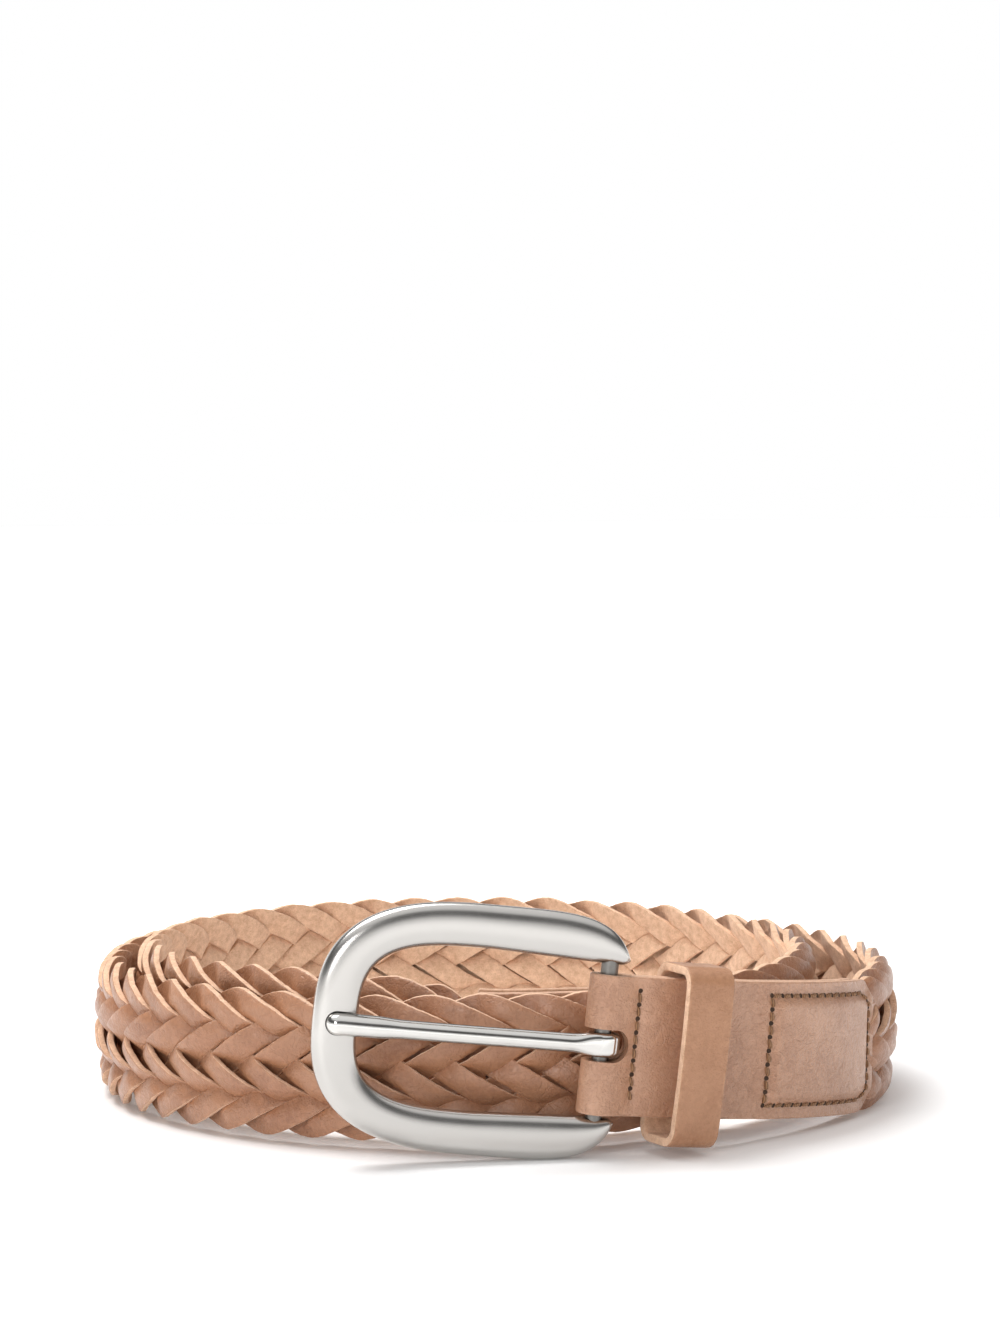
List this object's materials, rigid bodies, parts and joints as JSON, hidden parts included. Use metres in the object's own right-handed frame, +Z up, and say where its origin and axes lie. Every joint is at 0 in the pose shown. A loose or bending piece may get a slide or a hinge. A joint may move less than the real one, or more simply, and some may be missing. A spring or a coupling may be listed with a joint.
{
  "type": "braided leather belt",
  "caption": "Flat braided leather belt rolled on its edge, with a smooth stitched tab, an open-ended oval buckle with a swinging prong, and a sliding keeper loop.",
  "frame": {"origin": "on the ground, under the middle of the coil's box", "axes": "+Z up, -Y outwards through the buckle bar, +X along the strap from the buckle bar towards the keeper"},
  "size_m": [0.1832, 0.1927, 0.0555],
  "materials": {
    "buckle_metal": "satin, with softly polished edges",
    "prong_metal": "polished",
    "bar_steel": "plain dark steel",
    "tab_leather": "smooth natural tan, fine grain, pale edges",
    "keeper_leather": "smooth natural tan, fine grain, pale edges",
    "braid_leather": "natural tan strips, fine grain outside, pale cut edges and flesh side",
    "thread": "waxed brown thread"
  },
  "bodies": {
    "belt": {"tab_strap": "tab_leather", "fold_stitching": "thread", "sleeve_stitching": "thread", "strand_1": "braid_leather", "strand_2": "braid_leather", "strand_3": "braid_leather", "strand_4": "braid_leather", "strand_5": "braid_leather", "strand_6": "braid_leather", "strand_7": "braid_leather", "strand_8": "braid_leather", "strand_9": "braid_leather", "tip_front": "tab_leather", "tip_back": "tab_leather", "tip_stitching": "thread"},
    "buckle": {"buckle_frame": "buckle_metal", "buckle_bar": "bar_steel"},
    "prong": {"prong": "prong_metal"},
    "keeper": {"keeper_loop": "keeper_leather", "keeper_staple": "bar_steel"}
  },
  "joints": [
    {"name": "buckle_swing", "type": "hinge", "parent": "belt", "child": "buckle", "pos_m": [-0.002, -0.08769, 0.0246], "axis": [0.1093, 0.0001, 0.994], "range_deg": [-8, 35]},
    {"name": "prong_swing", "type": "hinge", "parent": "buckle", "child": "prong", "pos_m": [-0.002, -0.08769, 0.0246], "axis": [0.1093, 0.0001, 0.994], "range_deg": [0, 60]},
    {"name": "keeper_slide", "type": "slide", "parent": "belt", "child": "keeper", "axis": [0.9717, 0.2095, -0.1093], "range_m": [-0.005, 0.007]}
  ]
}
